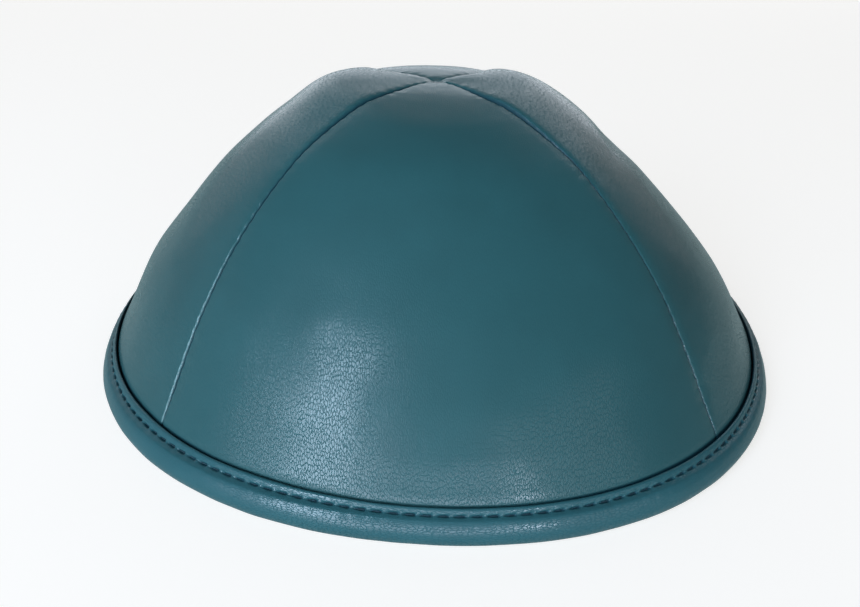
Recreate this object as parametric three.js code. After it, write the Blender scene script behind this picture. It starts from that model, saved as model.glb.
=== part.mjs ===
// A kippah: a round skullcap of four leather gores whose turned-in edges are sewn together,
// with a folded leather binding round the rim.
// Millimetres, +Z up. The origin is the middle of the rim on the surface that the cap rests on.
// The front gore faces -Y, and the four seams run down the diagonals between the gores.

import * as THREE from 'three';

// Leather and sewing
const RIM_RADIUS = 80; // outermost point of the binding
const LEATHER = 1.2; // one layer
const CLEARANCE = 0.3; // between pieces that are sewn against each other
const SEAM_DIP = 0.9; // depth of the groove where two turned edges meet
const SEAM_DIP_REACH = 2.8; // how far from the edge of a gore the groove has run out
const TURN_IN = 5; // width of the turned-in edge, where the wall is two layers thick
const TURN_IN_STEP = 0.4; // width of the step where the turned-in edge ends
const CROWN_LEAN = -2.2; // how far the top of the crown leans along X

// Where the wall meets its binding, as distances from the axis
const CREASE_RADIUS = 75.8; // the wall goes into the binding here
const FREE_RADIUS = 74.6; // inside this the wall is clear of the binding's inner leg

// Sections of the wall from the tips of the gores to the cut edge inside the binding:
// distance from the axis, height of the seam line, and how far the middle of each gore
// stands out from that line (or sinks in from it, if negative), square to the wall.
const SECTIONS = [
  { radius: 0.6, height: 62.0, front: 0.0, right: 0.0, back: 0.0, left: 0.0 },
  { radius: 10, height: 61.7, front: 0.6, right: 2.8, back: 0.6, left: 0.6 },
  { radius: 20, height: 60.7, front: 0.6, right: 2.2, back: 0.0, left: 1.2 },
  { radius: 30, height: 57.2, front: 0.2, right: 0.0, back: 0.0, left: 0.4 },
  { radius: 40, height: 51.6, front: -1.0, right: -2.0, back: -1.2, left: -0.8 },
  { radius: 50, height: 43.5, front: -1.6, right: -2.4, back: -1.8, left: -1.2 },
  { radius: 60, height: 32.8, front: -1.6, right: -2.2, back: -1.8, left: -1.6 },
  { radius: 68, height: 21.3, front: -0.8, right: -1.2, back: -1.0, left: -0.6 },
  { radius: FREE_RADIUS, height: 9.3, front: 0.0, right: 0.0, back: 0.0, left: 0.0 },
  { radius: CREASE_RADIUS, height: 7.0, front: 0.0, right: 0.0, back: 0.0, left: 0.0 },
  { radius: 77.4, height: 1.9, front: 0.0, right: 0.0, back: 0.0, left: 0.0 },
];

// Rolled outer face of the binding, from its flat foot up to its folded edge
const BINDING_FACE = [
  { place: 'foot', radius: 77.4, height: 0 },
  { place: 'toe', radius: 79.3, height: 1.3 },
  { place: 'belly', radius: RIM_RADIUS, height: 3.6 },
  { place: 'shoulder', radius: 79.2, height: 5.3 },
  { place: 'stitch groove', radius: 77.7, height: 6.2 },
  { place: 'folded edge', radius: 77.1, height: 7.1 },
];
const FOOT_INSIDE_RADIUS = 75.6; // inner edge of the flat foot

const GORES = [
  { side: 'front', azimuth: 0 },
  { side: 'right', azimuth: 90 },
  { side: 'back', azimuth: 180 },
  { side: 'left', azimuth: 270 },
];

// Columns of a half gore: distances from its edge to the end of the turned-in strip,
// and then an even division of what is left up to the gore's middle.
const EDGE_COLUMNS = [0, 1.1, SEAM_DIP_REACH, TURN_IN, TURN_IN + TURN_IN_STEP];
const FIELD_COLUMNS = 6;

const BINDING_SEGMENTS = 96;
const FACE_STEPS = 2; // facets of the rolled outer face between two of its points

const leather = { color: 0x3b6a75, roughness: 0.42, metalness: 0 };
const foldedLeather = { color: 0x40737f, roughness: 0.4, metalness: 0 };

// The sections with one more row half-way between each two, and the wall's outward normal at each row.
function wallRows() {
  const columns = ['height', 'front', 'right', 'back', 'left'];
  const wall = new THREE.CubicInterpolant(
    SECTIONS.map((section) => section.radius),
    SECTIONS.flatMap((section) => columns.map((column) => section[column])),
    columns.length,
  );
  const radii = SECTIONS.flatMap(({ radius }, i) => (
    i === 0 ? [radius] : [(SECTIONS[i - 1].radius + radius) / 2, radius]
  ));
  const rows = radii.map((radius) => {
    const values = Array.from(wall.evaluate(radius));
    return Object.fromEntries([['radius', radius], ...columns.map((column, i) => [column, values[i]])]);
  });
  return rows.map((row, i) => {
    const above = rows[Math.max(i - 1, 0)];
    const below = rows[Math.min(i + 1, rows.length - 1)];
    const normal = new THREE.Vector2(above.height - below.height, below.radius - above.radius);
    return { ...row, normal: normal.normalize() };
  });
}

const ROWS = wallRows();
const TOP = ROWS[0];
const CREASE = ROWS.find((row) => row.radius === CREASE_RADIUS);
const FREE = ROWS.find((row) => row.radius === FREE_RADIUS);
const CUT_EDGE = ROWS.at(-1);

// A point of a row's section, moved out of the wall by a distance.
function sectionPoint(row, outward) {
  return new THREE.Vector2(row.radius, row.height).addScaledVector(row.normal, outward);
}

// The same point on the cap, turned to its azimuth and leaned with the crown.
function wallPoint(row, azimuth, outward) {
  const point = sectionPoint(row, outward);
  const rise = Math.max(point.y - CREASE.height, 0) / (TOP.height - CREASE.height);
  return new THREE.Vector3(
    point.x * Math.sin(azimuth) + CROWN_LEAN * rise,
    -point.x * Math.cos(azimuth),
    point.y,
  );
}

// Columns of a row from one edge of the gore to the other. The turned-in strips shrink
// towards the tip, so that they never take more than half of the gore's width.
function goreColumns(row) {
  const quarter = Math.PI / 4;
  const halfWidth = row.radius * quarter - CLEARANCE / 2;
  const stripWidth = EDGE_COLUMNS.at(-1);
  const shrink = Math.min(1, halfWidth / (2 * stripWidth));
  const field = halfWidth - stripWidth * shrink;
  const half = EDGE_COLUMNS.map((edge) => ({ edge, along: edge * shrink }));
  for (let i = 1; i <= FIELD_COLUMNS; i += 1) {
    half.push({ edge: Infinity, along: halfWidth - field * (1 - i / FIELD_COLUMNS) });
  }
  const left = half.map(({ edge, along }) => ({ edge, angle: (along - halfWidth) / row.radius }));
  const right = left.slice(0, -1).reverse().map(({ edge, angle }) => ({ edge, angle: -angle }));
  return [...left, ...right];
}

function seamDip(row, edge) {
  const free = row.radius < CREASE_RADIUS;
  return free ? SEAM_DIP * Math.max(0, 1 - edge / SEAM_DIP_REACH) ** 2 : 0;
}

function wallThickness(row, edge) {
  const doubled = row.radius < FREE_RADIUS && edge <= TURN_IN;
  return doubled ? 2 * LEATHER : LEATHER;
}

// One gore: an outer and an inner skin on the same grid of rows and columns, joined round their edges.
function goreGeometry({ side, azimuth }) {
  const middle = THREE.MathUtils.degToRad(azimuth);
  const outer = [];
  const inner = [];
  for (const row of ROWS) {
    for (const { edge, angle } of goreColumns(row)) {
      const bulge = row[side] * Math.cos(2 * angle);
      outer.push(wallPoint(row, middle + angle, bulge - seamDip(row, edge)));
      inner.push(wallPoint(row, middle + angle, bulge - wallThickness(row, edge)));
    }
  }
  const width = outer.length / ROWS.length;
  const at = (row, column) => row * width + column;
  const flip = outer.length;
  const triangles = [];
  const quad = (a, b, c, d) => triangles.push(a, b, c, a, c, d);
  for (let row = 0; row + 1 < ROWS.length; row += 1) {
    for (let column = 0; column + 1 < width; column += 1) {
      const corners = [at(row, column), at(row + 1, column), at(row + 1, column + 1), at(row, column + 1)];
      quad(...corners);
      quad(...corners.toReversed().map((corner) => corner + flip));
    }
  }
  const lastRow = ROWS.length - 1;
  const border = [];
  for (let row = 0; row < lastRow; row += 1) border.push(at(row, 0));
  for (let column = 0; column < width - 1; column += 1) border.push(at(lastRow, column));
  for (let row = lastRow; row > 0; row -= 1) border.push(at(row, width - 1));
  for (let column = width - 1; column > 0; column -= 1) border.push(at(0, column));
  border.forEach((corner, i) => {
    const next = border[(i + 1) % border.length];
    quad(next, corner, corner + flip, next + flip);
  });
  const geometry = new THREE.BufferGeometry().setFromPoints([...outer, ...inner]);
  geometry.setIndex(triangles);
  geometry.computeVertexNormals();
  return geometry;
}

// The binding: a strip folded round the cut edge of the wall. Its section is drawn from the flat foot up
// the rolled outer face, down and up the slot that holds the wall, and down the inner leg.
function bindingGeometry() {
  const slotFloor = LEATHER; // the fold under the cut edge is one layer
  const slotInside = -(LEATHER + CLEARANCE);
  const legInside = slotInside - LEATHER;
  const foot = new THREE.Vector2(BINDING_FACE[0].radius, BINDING_FACE[0].height);
  const slotOutsideFoot = sectionPoint(CUT_EDGE, CLEARANCE).setY(slotFloor);
  const slotInsideFoot = sectionPoint(CUT_EDGE, slotInside).setY(slotFloor);
  const outerFace = new THREE.SplineCurve([
    ...BINDING_FACE.map(({ radius, height }) => new THREE.Vector2(radius, height)),
    sectionPoint(CREASE, CLEARANCE),
  ]);
  const section = [
    ...outerFace.getPoints(FACE_STEPS * BINDING_FACE.length),
    slotOutsideFoot,
    slotInsideFoot,
    sectionPoint(CREASE, slotInside),
    sectionPoint(FREE, slotInside),
    sectionPoint(FREE, legInside),
    sectionPoint(CREASE, legInside),
    new THREE.Vector2(slotInsideFoot.x - LEATHER, slotFloor),
    new THREE.Vector2(FOOT_INSIDE_RADIUS, 0),
    foot,
  ];
  const geometry = new THREE.LatheGeometry(section, BINDING_SEGMENTS);
  return geometry.rotateX(Math.PI / 2);
}

function namedMesh(name, geometry, finish) {
  const mesh = new THREE.Mesh(geometry, new THREE.MeshStandardMaterial(finish));
  mesh.name = name;
  return mesh;
}

const kippah = new THREE.Group();
for (const gore of GORES) {
  kippah.add(namedMesh(`${gore.side}_panel`, goreGeometry(gore), leather));
}
kippah.add(namedMesh('rim_binding', bindingGeometry(), foldedLeather));

export default kippah;
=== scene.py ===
import math
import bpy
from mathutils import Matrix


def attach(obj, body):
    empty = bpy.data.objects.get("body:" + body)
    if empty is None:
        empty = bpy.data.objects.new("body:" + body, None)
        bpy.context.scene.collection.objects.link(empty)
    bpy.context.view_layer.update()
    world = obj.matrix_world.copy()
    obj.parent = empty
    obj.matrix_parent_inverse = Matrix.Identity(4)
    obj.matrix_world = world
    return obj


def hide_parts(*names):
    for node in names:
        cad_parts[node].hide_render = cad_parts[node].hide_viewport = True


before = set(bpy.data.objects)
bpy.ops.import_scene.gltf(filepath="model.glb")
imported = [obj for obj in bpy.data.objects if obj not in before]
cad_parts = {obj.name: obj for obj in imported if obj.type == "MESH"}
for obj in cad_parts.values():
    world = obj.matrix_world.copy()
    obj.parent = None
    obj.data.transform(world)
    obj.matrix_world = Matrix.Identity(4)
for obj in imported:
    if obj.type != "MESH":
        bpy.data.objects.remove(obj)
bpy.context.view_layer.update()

from types import SimpleNamespace

import bpy
import numpy as np
from mathutils import Matrix, Vector, noise

bl_info = {
    "name": "Leather kippah",
    "version": (1, 0, 0),
    "blender": (4, 5, 0),
    "location": "3D View > Sidebar > Kippah",
    "description": "Models a kippah of four leather gores with a stitched binding round its rim",
    "category": "Object",
}

MM = 0.001

# Sizes below are in millimetres, in the frame of the solids: +Z up, the front gore towards -Y.

# Sections of the wall, from the tips of the gores to the cut edge inside the binding: distance from
# the axis, height of the seam line, and how far the middle of each gore stands out from that line.
WALL_COLUMNS = ("radius", "height", "front", "right", "back", "left")
WALL_SECTIONS = (
    (0.12, 62.0, 0.0, 0.0, 0.0, 0.0),
    (10.0, 61.7, -0.15, 0.6, 0.3, 0.4),
    (20.0, 60.7, -0.8, 0.9, 0.0, 1.0),
    (26.0, 58.9, -0.6, 0.6, 0.0, 1.2),
    (34.0, 55.2, -0.65, -0.6, -0.4, -0.2),
    (40.0, 51.6, -1.0, -2.0, -1.2, -0.8),
    (50.0, 43.5, -1.6, -2.4, -1.8, -1.2),
    (60.0, 32.8, -1.6, -2.2, -1.8, -1.6),
    (68.0, 21.3, -0.8, -1.2, -1.0, -0.6),
    (74.6, 9.3, 0.0, 0.0, 0.0, 0.0),
    (75.8, 7.0, 0.0, 0.0, 0.0, 0.0),
    (77.4, 1.9, 0.0, 0.0, 0.0, 0.0),
)
FREE_RADIUS = 73.4  # the turned-in edges are trimmed where the wall goes into the binding
CREASE_HEIGHT = 7.0
CROWN_HEIGHT = 62.0
CROWN_LEAN = -2.2  # how far the top of the crown leans along X
CROWN_PINCH = 0.5  # how deep the four tips are drawn in where they meet
CROWN_PINCH_REACH = 1.9
GORES = (("front", 0), ("right", 90), ("back", 180), ("left", 270))

# The seams wander near the crown: degrees off the diagonal at some distances from the axis,
# for the seam on the right of each gore
WANDER_RADII = (0.6, 5.0, 10.0, 15.0, 21.0, 30.0, 40.0, 77.4)
SEAM_WANDER = {
    "front": (8.0, 1.0, -2.5, -4.5, -3.5, -1.5, 0.0, 0.0),
    "right": (-9.0, -8.0, -5.5, 2.0, 6.0, 2.0, 0.0, 0.0),
    "back": (0.0, 2.0, 4.5, 3.5, 0.0, 0.0, 0.0, 0.0),
    "left": (0.0, 0.5, 1.5, 1.5, 1.0, 0.5, 0.0, 0.0),
}
# Steps by which the gores stand up beside their seams at the crown, at some distances from the axis
STEP_RADII = (0.6, 10.0, 20.0, 30.0, 40.0)
GORE_STEP = {
    "front": (0.0, 0.0, 0.0, 0.0, 0.0),
    "right": (0.0, 0.3, 0.65, 0.35, 0.0),
    "back": (0.0, 0.1, 0.0, 0.0, 0.0),
    "left": (0.0, 0.15, 0.35, 0.15, 0.0),
}
STEP_WIDTH = 0.35  # how far from the seam a step has risen
# How much more a gore stands out on its right half than on its left half
GORE_SKEW = {"front": 0.0, "right": 0.8, "back": 0.0, "left": -0.8}
# The edges of each gore, on its left (-1) and its right: how deep it sinks towards the seam and how far
# from it this starts, at the crown and at the rim; how wide the painted shade beside the seam is at the
# crown;
# and towards the rim, the size of its fold compared with the crown, and how strong the painted highlight on
# the fold is
EDGE_COLUMNS = ("top_depth", "top_reach", "low_depth", "low_reach", "dark_width", "fold_size", "rubbed")
SEAM_EDGES = {
    ("front", -1): (0.05, 1.5, 0.25, 2.0, 0.2, 0.6, 0.0),
    ("front", 1): (0.05, 1.5, 0.15, 1.5, 0.2, 0.6, 0.0),
    ("right", -1): (0.25, 0.7, 0.15, 1.5, 0.45, 1.0, 0.08),
    ("right", 1): (0.30, 1.5, 0.20, 2.0, 0.6, 0.8, 0.1),
    ("back", -1): (0.20, 1.5, 0.20, 2.0, 0.6, 0.8, 0.0),
    ("back", 1): (0.10, 2.0, 0.20, 2.0, 0.4, 0.8, 0.0),
    ("left", -1): (0.10, 2.0, 0.20, 2.0, 0.4, 0.8, 0.1),
    ("left", 1): (0.25, 0.7, -0.05, 1.5, 0.4, 1.0, 0.45),
}
# Shares of the way along the seam, from the crown to the rim
FOLD_PLACES = (0.3, 0.6)  # where the folds start to change from the crown's kind to the rim's, and end
HIGHLIGHT_PLACES = (0.45, 0.80)  # where the painted highlight starts on the folds, and where it is in full
RIM_SWELL = 0.45  # the wall stands out over the seams and in between them, just above the binding
RIM_SWELL_REACH = 16.0
RIM_OVAL = 0.22  # the foot of the wall is a little narrower from side to side
RIM_SKEW = 0.40  # how far the stand-outs over the seams are pushed round
BINDING_SWELL = 1.0  # the binding over the thick ends of the seams
BINDING_OVAL = 0.42  # it is longer from front to back than from side to side
BINDING_LOPSIDED = 0.40  # and stands out more at the right side than at the left
BELLY_START = 76.3  # the binding takes its own swell from here
BELLY_REACH = 2.5

# Small unevenness of the leather: how far it stands out, and how far apart the bumps are
WIDE_DENTS = (0.30, 24)
NARROW_DENTS = (0.10, 9)
DENTS_END = 75.0  # the wall is smooth from here, inside the binding
DENTS_END_REACH = 3
STITCH_PUCKER = 0.10  # how far the seam's stitches draw the leather in
STITCH_PUCKER_REACH = 1.5
STRAIN_PUCKER = 0.10  # short wrinkles that run out from the seam
STRAIN_PUCKER_REACH = 4
STRAIN_SPACING = 2.4
STRAIN_LENGTH = 8

# Columns and rows of a gore's mesh
WALL_ROWS = 190
FOLD_STEPS = 6
FIELD_STEPS = 42
FIELD_GROWTH = 1.35
TURN_IN_STEPS = 7
CUT_EDGE_WIDTH = 0.12
SEAM_GAP = -0.04  # the folded edges are pressed into each other

# Section of the binding: distance from the axis, height, and the steps to the next point
BINDING_SECTION = (
    (76.36, 5.80, 2),  # mouth of the slot, outside the wall
    (76.28, 6.70, 2),  # folded edge
    (76.50, 7.22, 3),
    (76.87, 7.12, 3),
    (77.16, 6.56, 4),
    (77.38, 6.14, 4),  # stitch groove
    (77.75, 5.96, 3),
    (78.45, 5.66, 4),  # shoulder
    (79.65, 3.20, 4),  # belly
    (79.30, 1.40, 3),  # toe
    (78.25, 0.42, 2),
    (77.00, 0.00, 1),  # flat foot
    (75.60, 0.00, 2),
    (74.90, 0.50, 1),
    (74.60, 1.60, 2),  # inner leg
    (73.95, 4.00, 2),
    (73.25, 6.20, 2),
    (72.50, 7.60, 2),
    (72.35, 8.20, 2),
    (72.75, 8.72, 2),
    (73.20, 8.60, 1),
    (73.35, 8.30, 1),
    (74.35, 6.40, 1),
    (75.30, 3.80, 1),
    (75.95, 1.30, 1),  # floor of the slot
    (77.50, 1.30, 1),
    (77.60, 2.00, 1),
    (76.95, 4.20, 1),
)
GROOVE_RADIUS = 77.38
GROOVE_HEIGHT = 6.14
INNER_STITCH_RADIUS = 73.25
INNER_STITCH_HEIGHT = 6.2
STITCHES = 168
STEPS_PER_STITCH = 9

# Camera at the photograph's angle, for an image of 860 by 607
IMAGE_WIDTH = 860
FOCAL_PIXELS = 829.8
SENSOR_WIDTH = 36.0
CAMERA_PLACE = (-5.3, -184.27, 104.27)
CAMERA_YAW = 1.06
CAMERA_PITCH = 28.04
CAMERA_ROLL = 1.917


def linear(code):
    """Linear colour of an sRGB hex value."""
    parts = [int(code[i:i + 2], 16) / 255 for i in (0, 2, 4)]
    return tuple(p / 12.92 if p <= 0.04045 else ((p + 0.055) / 1.055) ** 2.4 for p in parts)


def length_of(name, millimetres, description):
    return bpy.props.FloatProperty(
        name=name, description=description, default=millimetres * MM, unit="LENGTH", precision=5, min=0.0
    )


def colour_of(name, code, description):
    return bpy.props.FloatVectorProperty(
        name=name, description=description, default=linear(code), subtype="COLOR", size=3, min=0.0, max=1.0
    )


class KippahSizes(bpy.types.PropertyGroup):
    leather: length_of("Leather", 1.2, "Thickness of one layer of leather")
    fold: length_of("Fold", 0.6, "How far from the seam a gore's edge starts to turn in")
    groove: length_of("Seam groove", 1.0, "Depth at which the edges of two gores meet")
    turn_in: length_of("Turned-in edge", 5.0, "Width of the edge that is turned in at a seam")
    seam_stitch: length_of("Seam stitch", 2.6, "Length of the hidden stitches that draw in the seams")
    thread: length_of("Thread", 0.36, "Thickness of the thread round the rim")
    grain: length_of("Grain", 0.40, "Width of the pebbles of the leather's grain")


class KippahColours(bpy.types.PropertyGroup):
    leather: colour_of("Leather", "2f6164", "Teal of the leather's grain side")
    crease: colour_of("Creases", "1f4c52", "The leather in the creases of its grain")
    # Painted shade: the dark colour laid in the seams, in the crease above the binding and along the stitch
    # groove
    tuck: colour_of("Tucks", "123c48", "The leather deep in the seams and stitch holes, dark with dye")
    # Painted highlight: the pale colour laid along some folds near the rim
    rubbed: colour_of("Rubbed edges", "8fbcbc", "The leather along the folds that are rubbed pale")
    binding: colour_of("Binding", "30656b", "Teal of the strip round the rim")
    suede: colour_of("Suede", "4f7076", "Flesh side of the leather, inside the cap")
    thread: colour_of("Thread", "103a45", "Thread of the stitches round the rim")
    floor: colour_of("Floor", "f4f4f2", "Floor of the studio")


# Meshes

def smooth_through(at, known, values):
    """Values at places along a curve of cubic pieces that runs smoothly through known points."""
    values = np.asarray(values, float)
    slope = np.empty_like(values)
    slope[1:-1] = (values[2:] - values[:-2]) / (known[2:] - known[:-2])[:, None]
    slope[0] = (values[1] - values[0]) / (known[1] - known[0])
    slope[-1] = (values[-1] - values[-2]) / (known[-1] - known[-2])
    left = np.clip(np.searchsorted(known, at, side="right") - 1, 0, len(known) - 2)
    step = known[left + 1] - known[left]
    t = ((at - known[left]) / step)[:, None]
    step = step[:, None]
    return (
        (1 + 2 * t) * (1 - t) ** 2 * values[left]
        + t * (1 - t) ** 2 * step * slope[left]
        + t ** 2 * (3 - 2 * t) * values[left + 1]
        + t ** 2 * (t - 1) * step * slope[left + 1]
    )


def wall_rows():
    """Rows of the wall from the tips down, evenly spaced along it, with its outward normal."""
    table = np.array(WALL_SECTIONS)
    fine = np.linspace(table[0, 0], table[-1, 0], 4000)
    values = smooth_through(fine, table[:, 0], table[:, 1:])
    path = np.column_stack([fine, values[:, 0]])
    steps = np.hypot(*np.diff(path, axis=0).T)
    along = np.concatenate([[0], np.cumsum(steps)])
    at = np.linspace(0, along[-1], WALL_ROWS)
    rows = {name: np.interp(at, along, column)
            for name, column in zip(WALL_COLUMNS, np.column_stack([fine, values]).T)}
    slope = np.gradient(path, along, axis=0)
    rows["normal_out"] = np.interp(at, along, -slope[:, 1])
    rows["normal_up"] = np.interp(at, along, slope[:, 0])
    rows["along"] = at
    return SimpleNamespace(**rows)


def on_cap(radius, height, azimuth):
    """Points of the wall on the cap: azimuth 0 is the front and the crown leans to one side."""
    rise = np.clip(height - CREASE_HEIGHT, 0, None) / (CROWN_HEIGHT - CREASE_HEIGHT)
    x = radius * np.sin(azimuth) + CROWN_LEAN * rise
    y = -radius * np.cos(azimuth)
    return np.stack([x, y, height], axis=-1)


def soft_noise(points, spacing):
    """Smooth noise between about -1 and 1, whose bumps are about the spacing apart."""
    flat = points.reshape(-1, 3) / spacing
    return np.array([noise.noise(Vector(p)) for p in flat]).reshape(points.shape[:-1])


def leather_cut(name, columns, rows):
    """A flat cut of leather as a grid, which is then moulded; returns it with each vertex's place."""
    bpy.ops.object.select_all(action="DESELECT")
    bpy.ops.mesh.primitive_grid_add(
        x_subdivisions=columns, y_subdivisions=rows, size=1, calc_uvs=False, location=(0, 0, 0)
    )
    piece = bpy.context.active_object
    piece.name = name
    piece.data.name = name
    flat = np.empty(len(piece.data.vertices) * 3)
    piece.data.vertices.foreach_get("co", flat)
    flat = flat.reshape(-1, 3)
    column = np.rint((flat[:, 0] + 0.5) * columns).astype(int)
    row = np.rint((flat[:, 1] + 0.5) * rows).astype(int)
    if len(flat) != (columns + 1) * (rows + 1):
        raise RuntimeError(name + ": the grid has not the vertices that it was asked for")
    return piece, row, column


def mould(piece, points, cut, tuck):
    """Moves the vertices to points, and keeps their places on the flat cut as a UV map, in metres, and
    how much painted shade each has in a seam, a crease or a stitch hole, or painted highlight if below
    zero."""
    mesh = piece.data
    mesh.vertices.foreach_set("co", (points * MM).ravel())
    corner = np.empty(len(mesh.loops), int)
    mesh.loops.foreach_get("vertex_index", corner)
    layer = mesh.uv_layers.new(name="cut", do_init=False)
    layer.uv.foreach_set("vector", (cut[corner] * MM).astype(np.float32).ravel())
    mesh.attributes.new("tuck", "FLOAT", "POINT").data.foreach_set("value", tuck.astype(np.float32))
    mesh.update()


def close_up(piece, sharp):
    """Merges the edges that meet, turns the faces outwards and shades them smooth."""
    bpy.ops.object.mode_set(mode="EDIT")
    bpy.ops.mesh.select_all(action="SELECT")
    bpy.ops.mesh.remove_doubles(threshold=0.002 * MM)
    bpy.ops.mesh.normals_make_consistent(inside=False)
    bpy.ops.object.mode_set(mode="OBJECT")
    bpy.ops.object.shade_smooth_by_angle(angle=math.radians(sharp))


def gore_ring(sizes):
    """Columns of a gore's closed section: the outside from the left seam to the right one, and the
    inside back again. Distances are from the gore's edge, and depths from the outside of the wall."""
    turn = np.radians(np.linspace(0, 90, FOLD_STEPS + 1))
    fold = sizes.fold / MM
    groove = sizes.groove / MM
    leather = sizes.leather / MM
    turn_in = sizes.turn_in / MM
    in_fold = fold * (1 - np.cos(turn))
    rest = FIELD_STEPS - TURN_IN_STEPS
    strip = np.linspace(fold, turn_in, TURN_IN_STEPS + 1)[1:]
    outside = SimpleNamespace(
        fixed=np.concatenate([in_fold, np.full(FIELD_STEPS, fold)]),
        share=np.concatenate([0 * turn, (np.arange(1, FIELD_STEPS + 1) / FIELD_STEPS) ** FIELD_GROWTH]),
        depth=np.concatenate([groove * (1 - np.sin(turn)), np.zeros(FIELD_STEPS)]),
    )
    inside = SimpleNamespace(
        fixed=np.concatenate([in_fold, strip, np.full(rest, turn_in + CUT_EDGE_WIDTH)]),
        share=np.concatenate([0 * turn, 0 * strip, np.linspace(0, 1, rest)]),
        depth=np.concatenate([
            groove + (2 * leather - groove) * np.sin(turn),
            np.full(TURN_IN_STEPS, 2 * leather),
            np.full(rest, leather),
        ]),
    )
    last = FOLD_STEPS + FIELD_STEPS
    there = np.arange(last + 1)
    back = there[::-1]
    parts = [(outside, -1, there), (outside, 1, back[1:]), (inside, 1, there[1:]), (inside, -1, back[1:])]
    ring = SimpleNamespace(
        fixed=np.concatenate([half.fixed[i] for half, _, i in parts]),
        share=np.concatenate([half.share[i] for half, _, i in parts]),
        depth=np.concatenate([half.depth[i] for half, _, i in parts]),
        side=np.concatenate([np.full(len(i), side) for _, side, i in parts]),
        inner=np.concatenate([np.full(len(i), half is inside) for half, _, i in parts]),
        step=np.concatenate([i for _, _, i in parts]),
    )
    # The outside column that each inside one is closed against at the gore's two ends
    count = len(ring.step)
    ring.pair = np.arange(count)
    for column in np.flatnonzero(ring.inner):
        ring.pair[column] = ring.step[column] if ring.side[column] < 0 else 2 * last - ring.step[column]
    return ring


def seam_wander(side, radius):
    """How far the seam on the right of a gore lies off its diagonal, in radians, as a column."""
    degrees = np.array(SEAM_WANDER[side])[:, None]
    return np.radians(smooth_through(radius, np.array(WANDER_RADII), degrees))


def rim_swell(azimuth):
    """How far the foot of the wall stands out from a circle."""
    return (
        -RIM_SWELL * np.cos(4 * azimuth)
        - RIM_OVAL * (1 - np.cos(2 * azimuth))
        + RIM_SKEW * np.sin(4 * azimuth)
    )


def strip_swell(radius, azimuth):
    """How far the binding stands out from a circle: as the wall at its slot, and more at its belly."""
    belly = np.clip((radius - BELLY_START) / BELLY_REACH, 0, 1)
    bulged = (
        RIM_SKEW * np.sin(4 * azimuth) - BINDING_SWELL * np.cos(4 * azimuth)
        + BINDING_OVAL * np.cos(2 * azimuth) + BINDING_LOPSIDED * (np.sin(azimuth) - np.sin(2 * azimuth))
    )
    return rim_swell(azimuth) * (1 - belly) + bulged * belly


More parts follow.
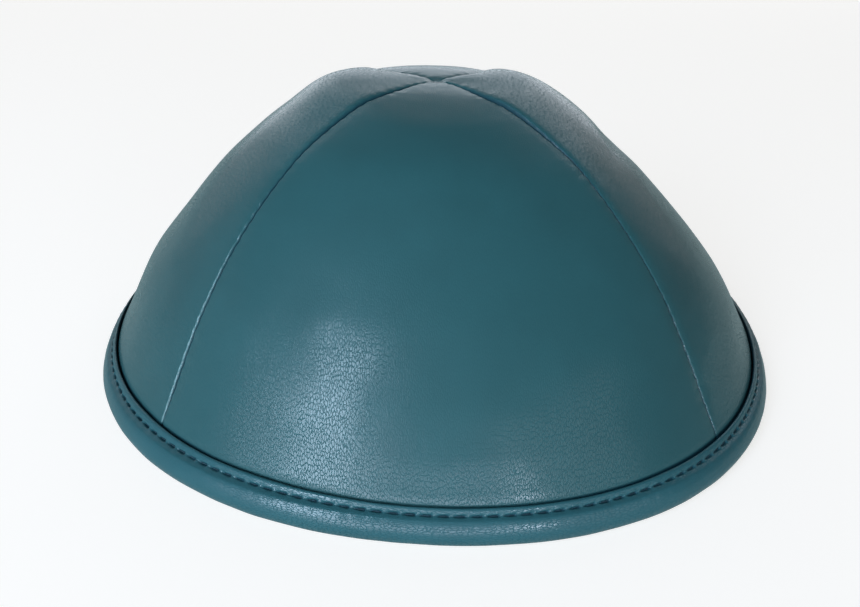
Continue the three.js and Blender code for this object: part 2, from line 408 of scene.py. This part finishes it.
def gore_points(side, azimuth, rows, ring, sizes):
    """Points of one gore, row by row, their places on the flat cut, and their painted shade and highlight.
    """
    fold = sizes.fold / MM
    strip = sizes.turn_in / MM + CUT_EDGE_WIDTH
    radius = rows.radius[:, None]
    along = rows.along[:, None]
    right_seam = seam_wander(side, rows.radius)
    left_seam = seam_wander(GORES[azimuth // 90 - 1][0], rows.radius)
    half_angle = math.pi / 4 + (right_seam - left_seam) / 2
    half = radius * half_angle - SEAM_GAP / 2
    shrink = np.minimum(1, half / (2 * strip))
    # The folds have another size down the side than at the crown
    down = along / along[-1]
    both_edges = np.where(ring.side[:, None] < 0, SEAM_EDGES[side, -1], SEAM_EDGES[side, 1]).T
    seam_edge = SimpleNamespace(**dict(zip(EDGE_COLUMNS, both_edges)))
    tight = 1 + (seam_edge.fold_size - 1) * np.interp(down, FOLD_PLACES, (0, 1))
    tight = np.where(ring.inner & (ring.step > 0), 1, tight)
    fixed = tight * ring.fixed
    edge = shrink * fixed + ring.share * (half - shrink * fixed)
    angle = ring.side * (half - edge) / radius
    depth = tight * ring.depth
    depth = np.where(ring.inner & (radius > FREE_RADIUS), np.minimum(depth, sizes.leather / MM), depth)
    middle = math.radians(azimuth) + (right_seam + left_seam) / 2
    level = on_cap(radius + 0 * angle, rows.height[:, None] + 0 * angle, middle + angle)
    # Dents of worn leather, and the seam's stitches, which draw both edges in
    dents = WIDE_DENTS[0] * soft_noise(level, WIDE_DENTS[1])
    dents = dents + NARROW_DENTS[0] * soft_noise(level + 50, NARROW_DENTS[1])
    pull = 0.5 - 0.5 * np.cos(2 * math.pi * along / (sizes.seam_stitch / MM))
    puckers = -STITCH_PUCKER * pull * np.exp(-(edge / STITCH_PUCKER_REACH) ** 2)
    seam = np.sign(angle) + azimuth / 90 * 3
    strain = np.stack([along / STRAIN_SPACING + 0 * edge, seam + 0 * along, edge / STRAIN_LENGTH], axis=-1)
    puckers = puckers + STRAIN_PUCKER * soft_noise(strain, 1.0) * np.exp(-edge / STRAIN_PUCKER_REACH)
    pinch = CROWN_PINCH * np.exp(-(radius / CROWN_PINCH_REACH) ** 2)
    free = np.clip((DENTS_END - radius) / DENTS_END_REACH, 0, 1)
    turn = angle / half_angle
    bulge = getattr(rows, side)[:, None] * (1 - turn ** 2) * (1 + GORE_SKEW[side] * turn)
    step = np.interp(radius, STEP_RADII, GORE_STEP[side]) * (1 - np.exp(-(edge / STEP_WIDTH) ** 2))
    dip = 0
    for seam_side in (-1, 1):
        top_depth, top_reach, low_depth, low_reach = SEAM_EDGES[side, seam_side][:4]
        sink = top_depth + (low_depth - top_depth) * down
        reach = (top_reach + (low_reach - top_reach) * down) * shrink
        dip = dip + sink * np.exp(-(np.abs(seam_side * half - radius * angle) / reach) ** 2)
    rim = np.clip((CREASE_HEIGHT + RIM_SWELL_REACH - rows.height[:, None]) / RIM_SWELL_REACH, 0, 1)
    swell = rim_swell(middle + angle) * rim * rim * (3 - 2 * rim)
    out = bulge + step + swell + free * (dents + puckers - dip) - pinch - depth
    points = on_cap(
        radius + rows.normal_out[:, None] * out,
        rows.height[:, None] + rows.normal_up[:, None] * out,
        middle + angle,
    )
    round_fold = np.minimum(ring.step, FOLD_STEPS) / FOLD_STEPS * math.pi / 2 * fold
    from_fold = shrink * round_fold + np.where(ring.step > FOLD_STEPS, edge - shrink * fold, 0)
    half_cut = half + shrink * fold * (math.pi / 2 - 1)
    across = ring.side * np.where(ring.inner, half_cut + from_fold, half_cut - from_fold)
    cut = np.stack([across + azimuth * 10, along + 0 * across], axis=-1)
    # Painted shade in the folds and, at the crown, beside the seams; towards the rim some folds get a
    # painted highlight between the stitches
    deep = ring.depth * MM / sizes.groove
    low = np.interp(down, HIGHLIGHT_PLACES, (0, 1))
    rubbed = seam_edge.rubbed * low
    in_seam = np.clip((deep - 0.05 - 0.3 * rubbed) / 0.2, 0, 1)
    beside = np.clip(1.3 * np.exp(-(edge / (seam_edge.dark_width * shrink)) ** 2), 0, 1)
    in_seam = np.maximum(in_seam, beside * np.interp(down, FOLD_PLACES, (1, 0)))
    in_seam = in_seam - rubbed * (1 - 0.6 * pull) * ((deep > 0.01) & (deep < 0.2))
    in_seam = np.where(ring.inner, 0, in_seam)
    # Painted shade on the wall just above its crease with the binding
    in_crease = np.clip((CREASE_HEIGHT + 0.15 - rows.height[:, None]) / 0.35, 0, 1)
    in_crease = in_crease * in_crease * (3 - 2 * in_crease) * ~ring.inner
    tuck = np.where(in_crease > 0, np.maximum(in_seam, in_crease), in_seam)
    # The two ends are closed: there the inside meets the outside
    first = points[0][ring.pair]
    last = points[-1][ring.pair]
    points = np.concatenate([first[None], points, last[None]])
    cut = np.concatenate([cut[:1], cut, cut[-1:]])
    tuck = np.concatenate([tuck[:1], tuck, tuck[-1:]])
    flat_width = 2 * (half_cut[:, 0] + shrink[:, 0] * sizes.turn_in / MM)
    return points, cut, tuck, flat_width


# Materials

def add_node(tree, kind, settings=None, **sockets):
    """Adds a node with its settings; a socket takes a value, or a link where it is given an output."""
    node = tree.nodes.new("ShaderNode" + kind)
    for name, value in (settings or {}).items():
        setattr(node, name, value)
    for name, value in sockets.items():
        socket = node.inputs[int(name[2:])] if name.startswith("in") and name[2:].isdigit() else None
        if socket is None:
            socket = node.inputs[name.replace("_", " ")]
        if isinstance(value, bpy.types.NodeSocket):
            tree.links.new(value, socket)
        else:
            socket.default_value = value
    return node


def new_material(name):
    material = bpy.data.materials.new(name)
    material.use_nodes = True
    material.node_tree.nodes.clear()
    return material, material.node_tree


def rgba(colour):
    return (*colour, 1.0)


def nappa_leather(name, colour, crease, shadow, rubbed, grain):
    """Aniline-dyed nappa under a thin polished finish: a cloudy teal whose fine grain shows in the
    highlights as flat bright pebbles with narrow dark creases between."""
    material, tree = new_material(name)
    cut = add_node(tree, "UVMap", {"uv_map": "cut"}).outputs["UV"]
    place = add_node(tree, "TexCoord").outputs["Object"]
    # Flat-topped pebbles, longer down the gore than across it, with narrow creases between
    even = add_node(tree, "Mapping", Vector=cut, Scale=(1 / grain, 1 / (2.4 * grain), 1)).outputs["Vector"]
    sway = add_node(tree, "TexNoise", {"noise_dimensions": "2D"}, Vector=even, Scale=0.4, Detail=2.0)
    bent = add_node(tree, "VectorMath", {"operation": "MULTIPLY_ADD"}, in0=sway.outputs["Color"],
                    in1=(1.6, 1.0, 0), in2=even).outputs["Vector"]
    edge = add_node(tree, "TexVoronoi", {"voronoi_dimensions": "2D", "feature": "DISTANCE_TO_EDGE"},
                    Vector=bent, Scale=1.0).outputs["Distance"]
    pebble = add_node(tree, "MapRange", {"interpolation_type": "SMOOTHSTEP"}, Value=edge,
                      From_Min=0.02, From_Max=0.22).outputs["Result"]
    # Some pebbles stand a little higher than others
    wrinkle = add_node(tree, "TexNoise", {"noise_dimensions": "2D"}, Vector=bent, Scale=0.6, Detail=2.0,
                       Roughness=0.5).outputs["Fac"]
    height = add_node(tree, "Math", {"operation": "MULTIPLY_ADD"}, in0=wrinkle, in1=0.4,
                      in2=pebble).outputs["Value"]
    grain_bump = add_node(tree, "Bump", Strength=1.0, Distance=0.008 * MM, Height=height)
    soft_bump = add_node(tree, "Bump", Strength=1.0, Distance=0.006 * MM, Height=height)
    # The polish lies on the pebbles and does not reach down into the creases
    polish = add_node(tree, "MapRange", Value=height, From_Min=0.25, From_Max=1.15, To_Min=0.06, To_Max=1.0)
    # Clouds of dye
    cloud = add_node(tree, "TexNoise", Vector=place, Scale=1 / (11 * MM), Detail=4.0,
                     Roughness=0.55).outputs["Fac"]
    tone = add_node(tree, "MapRange", Value=cloud, From_Min=0.3, From_Max=0.75, To_Min=0.95, To_Max=1.05)
    deep = add_node(tree, "MapRange", Value=height, From_Min=0.2, From_Max=0.9, To_Min=0.75, To_Max=1.0)
    dyed = add_node(tree, "Mix", {"data_type": "RGBA", "blend_type": "MIX"}, in0=deep.outputs["Result"],
                    in6=rgba(crease), in7=rgba(colour)).outputs[2]
    shade = add_node(tree, "VectorMath", {"operation": "SCALE"}, in0=dyed, in3=tone.outputs["Result"])
    # Painted shade where the attribute is above zero, in the seams, creases and stitch holes, which are
    # dull there too; a painted highlight where it is below zero
    tuck = add_node(tree, "Attribute", {"attribute_name": "tuck"}).outputs["Fac"]
    with_painted_light = add_node(tree, "Mix", {"data_type": "RGBA", "blend_type": "MIX"}, in0=tuck,
                    in6=shade.outputs["Vector"], in7=rgba(shadow)).outputs[2]
    highlight_amount = add_node(tree, "Math", {"operation": "MULTIPLY", "use_clamp": True}, in0=tuck,
                    in1=-1.0).outputs["Value"]
    with_painted_light = add_node(tree, "Mix", {"data_type": "RGBA", "blend_type": "MIX"}, in0=highlight_amount,
                    in6=with_painted_light, in7=rgba(rubbed)).outputs[2]
    open_to_polish = add_node(tree, "MapRange", Value=tuck, To_Min=1.0, To_Max=0.0).outputs["Result"]
    coat = add_node(tree, "Math", {"operation": "MULTIPLY"}, in0=polish.outputs["Result"],
                    in1=open_to_polish)
    skin = add_node(tree, "BsdfPrincipled", Base_Color=with_painted_light, Roughness=0.6,
                    Specular_IOR_Level=0.25, Coat_Weight=coat.outputs["Value"],
                    Coat_Roughness=0.20, Coat_IOR=1.5,
                    Normal=soft_bump.outputs["Normal"], Coat_Normal=grain_bump.outputs["Normal"])
    add_node(tree, "OutputMaterial", Surface=skin.outputs["BSDF"])
    return material


def suede(name, colour):
    """Flesh side of the same hide, buffed: a dull nap with no shine, paler where fibres stand up."""
    material, tree = new_material(name)
    place = add_node(tree, "TexCoord").outputs["Object"]
    nap = add_node(tree, "TexNoise", Vector=place, Scale=1 / (0.7 * MM), Detail=4.0,
                   Roughness=0.6).outputs["Fac"]
    cloud = add_node(tree, "TexNoise", Vector=place, Scale=1 / (14 * MM), Detail=3.0).outputs["Fac"]
    both = add_node(tree, "Math", {"operation": "MULTIPLY_ADD"}, in0=nap, in1=0.6,
                    in2=cloud).outputs["Value"]
    tone = add_node(tree, "MapRange", Value=both, From_Min=0.5, From_Max=1.1, To_Min=0.75, To_Max=1.15)
    shade = add_node(tree, "VectorMath", {"operation": "SCALE"}, in0=colour, in3=tone.outputs["Result"])
    bump = add_node(tree, "Bump", Strength=0.5, Distance=0.15 * MM, Height=nap)
    skin = add_node(tree, "BsdfPrincipled", Base_Color=shade.outputs["Vector"], Roughness=0.95,
                    Specular_IOR_Level=0.15, Sheen_Weight=0.25, Sheen_Roughness=0.5,
                    Normal=bump.outputs["Normal"])
    add_node(tree, "OutputMaterial", Surface=skin.outputs["BSDF"])
    return material


def spun_thread(name, colour):
    """Spun polyester sewing thread: dull and dark, with a fine uneven twist."""
    material, tree = new_material(name)
    place = add_node(tree, "TexCoord").outputs["Object"]
    twist = add_node(tree, "TexNoise", Vector=place, Scale=1 / (0.25 * MM), Detail=2.0).outputs["Fac"]
    tone = add_node(tree, "MapRange", Value=twist, From_Min=0.3, From_Max=0.7, To_Min=0.7, To_Max=1.3)
    shade = add_node(tree, "VectorMath", {"operation": "SCALE"}, in0=colour, in3=tone.outputs["Result"])
    bump = add_node(tree, "Bump", Strength=0.5, Distance=0.05 * MM, Height=twist)
    fibre = add_node(tree, "BsdfPrincipled", Base_Color=shade.outputs["Vector"], Roughness=0.75,
                     Sheen_Weight=0.1, Normal=bump.outputs["Normal"])
    add_node(tree, "OutputMaterial", Surface=fibre.outputs["BSDF"])
    return material


def studio_card(name, colour):
    """Matt white card: bright in the picture, an even pale glow where the polish mirrors it, and grey
    for the light that it throws back on the cap."""
    material, tree = new_material(name)
    path = add_node(tree, "LightPath")
    lit = add_node(tree, "BsdfDiffuse", Color=(0.48, 0.44, 0.42, 1.0)).outputs["BSDF"]
    glow = add_node(tree, "Emission", Color=rgba(colour), Strength=0.82).outputs["Emission"]
    bright = add_node(tree, "AddShader", in0=lit, in1=glow).outputs["Shader"]
    dim = add_node(tree, "BsdfDiffuse", Color=(0.30, 0.30, 0.30, 1.0)).outputs["BSDF"]
    pale = add_node(tree, "Emission", Color=(0.70, 0.92, 0.95, 1.0), Strength=0.50).outputs["Emission"]
    shiny = add_node(tree, "MixShader", in0=path.outputs["Is Glossy Ray"], in1=dim,
                     in2=pale).outputs["Shader"]
    mix = add_node(tree, "MixShader", in0=path.outputs["Is Camera Ray"], in1=shiny, in2=bright)
    add_node(tree, "OutputMaterial", Surface=mix.outputs["Shader"])
    return material


# Pieces

class KIPPAH_OT_gores(bpy.types.Operator):
    """Moulds the four gores, whose edges are turned in at the seams"""

    bl_idname = "kippah.add_gores"
    bl_label = "Gores"
    bl_options = {"REGISTER", "UNDO"}

    def execute(self, context):
        sizes = context.scene.kippah_sizes
        colours = context.scene.kippah_colours
        rows = wall_rows()
        ring = gore_ring(sizes)
        grain_side = nappa_leather("nappa leather", colours.leather, colours.crease, colours.tuck,
                                   colours.rubbed, sizes.grain)
        flesh_side = suede("suede", colours.suede)
        columns = len(ring.step) - 1
        for side, azimuth in GORES:
            piece, row, column = leather_cut(side + "_gore", columns, WALL_ROWS + 1)
            points, cut, tuck, flat_width = gore_points(side, azimuth, rows, ring, sizes)
            mould(piece, points[row, column], cut[row, column], tuck[row, column])
            piece.data.materials.append(grain_side)
            piece.data.materials.append(flesh_side)
            # The inside shows the flesh side, apart from the turned-in strips
            corners = np.empty(len(piece.data.polygons) * 4, int)
            piece.data.polygons.foreach_get("vertices", corners)
            step = ring.step[column[corners]].reshape(-1, 4).max(axis=1)
            within = ring.inner[column[corners]].reshape(-1, 4).any(axis=1)
            flesh = within & (step > FOLD_STEPS + TURN_IN_STEPS)
            piece.data.polygons.foreach_set("material_index", flesh.astype(np.int32))
            close_up(piece, 50)
            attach(piece, "root")
            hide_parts(side + "_panel")
        return {"FINISHED"}


def binding_ring():
    """Points of the binding's section and their distance along it from the stitch groove."""
    table = np.array(BINDING_SECTION)
    corners = table[:, :2]
    closed = np.concatenate([corners[-2:], corners, corners[:3]])
    gaps = np.hypot(*np.diff(closed, axis=0).T)
    along = np.concatenate([[0], np.cumsum(gaps)])
    at = [along[i + 2] + (along[i + 3] - along[i + 2]) * k / steps
          for i, steps in enumerate(table[:, 2].astype(int)) for k in range(steps)]
    at.append(along[len(corners) + 2])
    at = np.array(at)
    path = smooth_through(at, along, closed)
    slope = np.gradient(path, at, axis=0)
    slope[[0, -1]] = (slope[0] + slope[-1]) / 2
    normal = np.column_stack([-slope[:, 1], slope[:, 0]])
    normal /= np.hypot(*normal.T)[:, None]
    groove = np.argmin(np.hypot(path[:, 0] - GROOVE_RADIUS, path[:, 1] - GROOVE_HEIGHT))
    return path, normal, at - at[groove]


class KIPPAH_OT_binding(bpy.types.Operator):
    """Folds the strip round the rim and draws it in along its row of stitches"""

    bl_idname = "kippah.add_binding"
    bl_label = "Binding"
    bl_options = {"REGISTER", "UNDO"}

    def execute(self, context):
        sizes = context.scene.kippah_sizes
        colours = context.scene.kippah_colours
        path, normal, from_groove = binding_ring()
        turns = STITCHES * STEPS_PER_STITCH
        columns = len(path) - 1
        piece, row, column = leather_cut("rim_strip", columns, turns)
        azimuth = np.arange(turns + 1) / turns * 2 * math.pi
        around = azimuth[:, None]
        level = on_cap(path[:, 0] + 0 * around, path[:, 1] + 0 * around, around + 0 * path[:, 0])
        # Each stitch sinks into the leather; between two stitches a slanting ridge stays up
        phase = around * STITCHES / (2 * math.pi) + 0.5 + 0.10 * from_groove
        phase = phase - np.floor(phase)
        slot = np.clip((phase - 0.08) / 0.45, 0, 1) * np.clip((0.90 - phase) / 0.10, 0, 1)
        slot = slot * (2 - slot)
        hump = np.sin(math.pi * phase) ** 2
        uneven = 1 + 0.35 * soft_noise(level, 4.0)
        outer = (path[:, 0] > BELLY_START) & (path[:, 1] > 0.3)
        in_groove = np.exp(-((from_groove + 0.03) / (0.13 + 0.10 * phase)) ** 2)
        in_lip = np.exp(-((from_groove + 0.45) / 0.25) ** 2)
        in_roll = np.exp(-((from_groove - 1.2) / 0.8) ** 2)
        drawn_in = -0.45 * slot * in_groove
        ridges = 0.10 * (hump - 0.4) * in_lip + 0.05 * (hump - 0.5) * in_roll
        out = uneven * (drawn_in + ridges)
        out = out + 0.14 * soft_noise(level, 16) + 0.05 * soft_noise(level + 30, 5)
        out = np.where(outer, out, 0)
        out[-1] = out[0]
        swell = strip_swell(path[:, 0], around)
        points = on_cap(
            path[:, 0] + swell + normal[:, 0] * out,
            path[:, 1] + normal[:, 1] * out,
            around + 0 * out,
        )
        points[..., 2] = np.maximum(points[..., 2], 0)
        cut = np.stack([from_groove + 0 * around, around * GROOVE_RADIUS + 0 * from_groove], axis=-1)
        # Painted shade along the stitch groove, darkest in the stitch slots, and on the folded edge's inner
        # face against the wall
        inside_lip = (path[:, 0] > 76.0) & (path[:, 0] < 76.5) & (path[:, 1] > 1.5)
        tuck = np.where(outer, np.maximum(1.2 * slot, 0.25) * in_groove ** 1.6, 0)
        tuck = np.clip(np.maximum(tuck, inside_lip), 0, 1)
        mould(piece, points[row, column], cut[row, column], tuck[row, column])
        leather = nappa_leather("nappa leather strip", colours.binding, colours.crease, colours.tuck,
                                colours.rubbed, sizes.grain)
        piece.data.materials.append(leather)
        close_up(piece, 60)
        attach(piece, "root")
        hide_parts("rim_binding")
        return {"FINISHED"}


def thread_row(name, radius, height, tilt, thickness, length):
    """One stitch, modelled from a ball and copied round the rim."""
    bpy.ops.object.select_all(action="DESELECT")
    bpy.ops.mesh.primitive_uv_sphere_add(segments=8, ring_count=7, radius=1, location=(0, 0, 0))
    piece = bpy.context.active_object
    piece.name = name
    piece.data.name = name
    bpy.ops.object.mode_set(mode="EDIT")
    bpy.ops.mesh.select_all(action="SELECT")
    bpy.ops.transform.resize(value=(thickness / 2, thickness / 2, length / 2))
    bpy.ops.transform.rotate(value=math.pi / 2, orient_axis="Y", center_override=(0, 0, 0))
    bpy.ops.object.mode_set(mode="OBJECT")
    # The ends dip into their holes
    for vertex in piece.data.vertices:
        vertex.co.z -= 0.9 * thickness * (2 * vertex.co.x / length) ** 4
    bpy.ops.object.mode_set(mode="EDIT")
    bpy.ops.mesh.select_all(action="SELECT")
    bpy.ops.transform.rotate(value=-tilt, orient_axis="X", center_override=(0, 0, 0))
    bpy.ops.transform.translate(value=(0, -radius, height))
    bpy.ops.mesh.spin(
        steps=STITCHES - 1, dupli=True, angle=2 * math.pi * (STITCHES - 1) / STITCHES,
        center=(0, 0, 0), axis=(0, 0, 1),
    )
    bpy.ops.mesh.select_all(action="SELECT")
    bpy.ops.mesh.normals_make_consistent(inside=False)
    bpy.ops.object.mode_set(mode="OBJECT")
    # The row follows the rim, which is not quite round
    places = np.empty(len(piece.data.vertices) * 3)
    piece.data.vertices.foreach_get("co", places)
    places = places.reshape(-1, 3)
    swell = strip_swell(radius / MM, np.arctan2(places[:, 0], -places[:, 1])) * MM
    places[:, :2] *= (1 + swell / np.hypot(places[:, 0], places[:, 1]))[:, None]
    piece.data.vertices.foreach_set("co", places.ravel())
    piece.data.update()
    bpy.ops.object.shade_smooth()
    return piece


class KIPPAH_OT_stitches(bpy.types.Operator):
    """Sews the row of stitches that holds the binding, seen from outside and from inside"""

    bl_idname = "kippah.add_stitches"
    bl_label = "Stitches"
    bl_options = {"REGISTER", "UNDO"}

    def execute(self, context):
        sizes = context.scene.kippah_sizes
        colours = context.scene.kippah_colours
        pitch = 2 * math.pi * GROOVE_RADIUS * MM / STITCHES
        outer = thread_row("rim_stitches", (GROOVE_RADIUS - 0.30) * MM, (GROOVE_HEIGHT - 0.22) * MM,
                           math.radians(40), sizes.thread, 0.86 * pitch)
        inner = thread_row("bobbin_stitches", INNER_STITCH_RADIUS * MM, INNER_STITCH_HEIGHT * MM,
                           math.radians(-110), sizes.thread, 0.8 * pitch)
        bpy.ops.object.select_all(action="DESELECT")
        inner.select_set(True)
        outer.select_set(True)
        context.view_layer.objects.active = outer
        bpy.ops.object.join()
        outer.data.materials.append(spun_thread("spun polyester thread", colours.thread))
        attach(outer, "root")
        return {"FINISHED"}


# Soft boxes: the way they lie from the cap in degrees, their distance and size in metres, their
# brightness, with white paper in full light as 1, and their tint
SOFT_BOXES = (
    ("window", -35, 26, 0.9, 0.27, 0.55, 10.5, "d0e8ff"),
    ("left_front_fill", -40, 12, 1.6, 1.3, 1.0, 1.5, "dfecff"),
    ("low_front_fill", -5, 6, 1.6, 1.4, 0.5, 4.4, "dfecff"),
    ("right_front_fill", 40, 12, 1.6, 1.3, 1.0, 0.8, "f4faff"),
    ("left_fill", -100, 15, 1.6, 1.3, 1.0, 0.2, "ffffff"),
    ("right_fill", 100, 15, 1.6, 1.3, 1.0, 0.06, "ffffff"),
    ("backdrop", 180, 11, 1.6, 1.8, 0.75, 1.5, "eaf5ff"),
    ("backdrop_middle", 180, 31, 1.6, 1.0, 0.35, 0.25, "eaf5ff"),
    ("backdrop_high_left", -145, 36, 1.6, 1.0, 0.6, 0.6, "eaf5ff"),
    ("backdrop_high_right", 145, 36, 1.6, 1.0, 0.6, 0.8, "eaf5ff"),
    ("backdrop_left", -145, 14, 1.6, 1.2, 0.7, 0.45, "ffffff"),
    ("backdrop_right", 145, 14, 1.6, 1.2, 0.7, 0.38, "ffffff"),
    ("backdrop_top", 180, 44, 1.6, 1.6, 0.7, 0.1, "ffffff"),
    ("side_glint", 23, 10, 0.9, 0.10, 0.08, 26.0, "dfecff"),
)


def soft_box(name, azimuth, elevation, distance, size, radiance, tint):
    """A studio soft box that faces the cap; azimuth 0 is the front and grows to the right."""
    turn = math.radians(azimuth)
    rise = math.radians(elevation)
    target = Vector((0, 0, 0.03))
    aim = Vector((math.sin(turn) * math.cos(rise), -math.cos(turn) * math.cos(rise), math.sin(rise)))
    bpy.ops.object.light_add(
        type="AREA", location=target + distance * aim, rotation=aim.to_track_quat("Z", "Y").to_euler()
    )
    box = bpy.context.active_object
    box.name = name
    box.data.shape = "RECTANGLE"
    box.data.size, box.data.size_y = size
    box.data.color = tint
    box.data.energy = radiance * math.pi * size[0] * size[1]


class KIPPAH_OT_stage(bpy.types.Operator):
    """Sets the floor, the soft lights and the camera"""

    bl_idname = "kippah.add_stage"
    bl_label = "Stage"
    bl_options = {"REGISTER", "UNDO"}

    def execute(self, context):
        scene = context.scene
        scene.view_settings.view_transform = "Standard"
        bpy.ops.object.select_all(action="DESELECT")
        bpy.ops.mesh.primitive_plane_add(size=8, location=(0, 0, -0.02 * MM))
        floor = context.active_object
        floor.name = "studio_floor"
        floor.data.materials.append(studio_card("white card", scene.kippah_colours.floor))

        for name, azimuth, elevation, distance, width, height, radiance, tint in SOFT_BOXES:
            soft_box(name, azimuth, elevation, distance, (width, height), radiance, linear(tint))

        world = bpy.data.worlds.new("studio_air")
        scene.world = world
        world.use_nodes = True
        tree = world.node_tree
        tree.nodes.clear()
        seen = add_node(tree, "LightPath").outputs["Is Camera Ray"]
        air = add_node(tree, "Background", Color=(1, 1, 1, 1), Strength=0.03)
        pale = add_node(tree, "Background", Color=(1, 1, 1, 1), Strength=0.95)
        mix = add_node(tree, "MixShader", in0=seen, in1=air.outputs["Background"],
                       in2=pale.outputs["Background"])
        add_node(tree, "OutputWorld", Surface=mix.outputs["Shader"])

        yaw = math.radians(CAMERA_YAW)
        pitch = math.radians(CAMERA_PITCH)
        roll = math.radians(CAMERA_ROLL)
        forward = Vector((
            math.sin(yaw) * math.cos(pitch), math.cos(yaw) * math.cos(pitch), -math.sin(pitch),
        ))
        level = Vector((math.cos(yaw), -math.sin(yaw), 0))
        upright = level.cross(forward)
        right = math.cos(roll) * level + math.sin(roll) * upright
        up = -math.sin(roll) * level + math.cos(roll) * upright
        turned = Matrix((right, up, -forward)).transposed()
        bpy.ops.object.camera_add(location=Vector(CAMERA_PLACE) * MM, rotation=turned.to_euler())
        camera = context.active_object
        camera.data.sensor_fit = "HORIZONTAL"
        camera.data.sensor_width = SENSOR_WIDTH
        camera.data.lens = SENSOR_WIDTH * FOCAL_PIXELS / IMAGE_WIDTH
        camera.data.clip_start = 0.01
        scene.camera = camera
        return {"FINISHED"}


class KIPPAH_PT_pieces(bpy.types.Panel):
    bl_idname = "KIPPAH_PT_pieces"
    bl_label = "Kippah"
    bl_space_type = "VIEW_3D"
    bl_region_type = "UI"
    bl_category = "Kippah"

    def draw(self, context):
        for group in (context.scene.kippah_sizes, context.scene.kippah_colours):
            for name in group.__annotations__:
                self.layout.prop(group, name)
        for operator in OPERATORS:
            self.layout.operator(operator.bl_idname)


OPERATORS = (KIPPAH_OT_gores, KIPPAH_OT_binding, KIPPAH_OT_stitches, KIPPAH_OT_stage)
CLASSES = (KippahSizes, KippahColours, *OPERATORS, KIPPAH_PT_pieces)


def register():
    for cls in CLASSES:
        bpy.utils.register_class(cls)
    bpy.types.Scene.kippah_sizes = bpy.props.PointerProperty(type=KippahSizes)
    bpy.types.Scene.kippah_colours = bpy.props.PointerProperty(type=KippahColours)


def unregister():
    del bpy.types.Scene.kippah_colours
    del bpy.types.Scene.kippah_sizes
    for cls in reversed(CLASSES):
        bpy.utils.unregister_class(cls)


def main():
    register()
    bpy.ops.kippah.add_gores()
    bpy.ops.kippah.add_binding()
    bpy.ops.kippah.add_stitches()
    bpy.ops.kippah.add_stage()


if __name__ == "__main__":
    main()
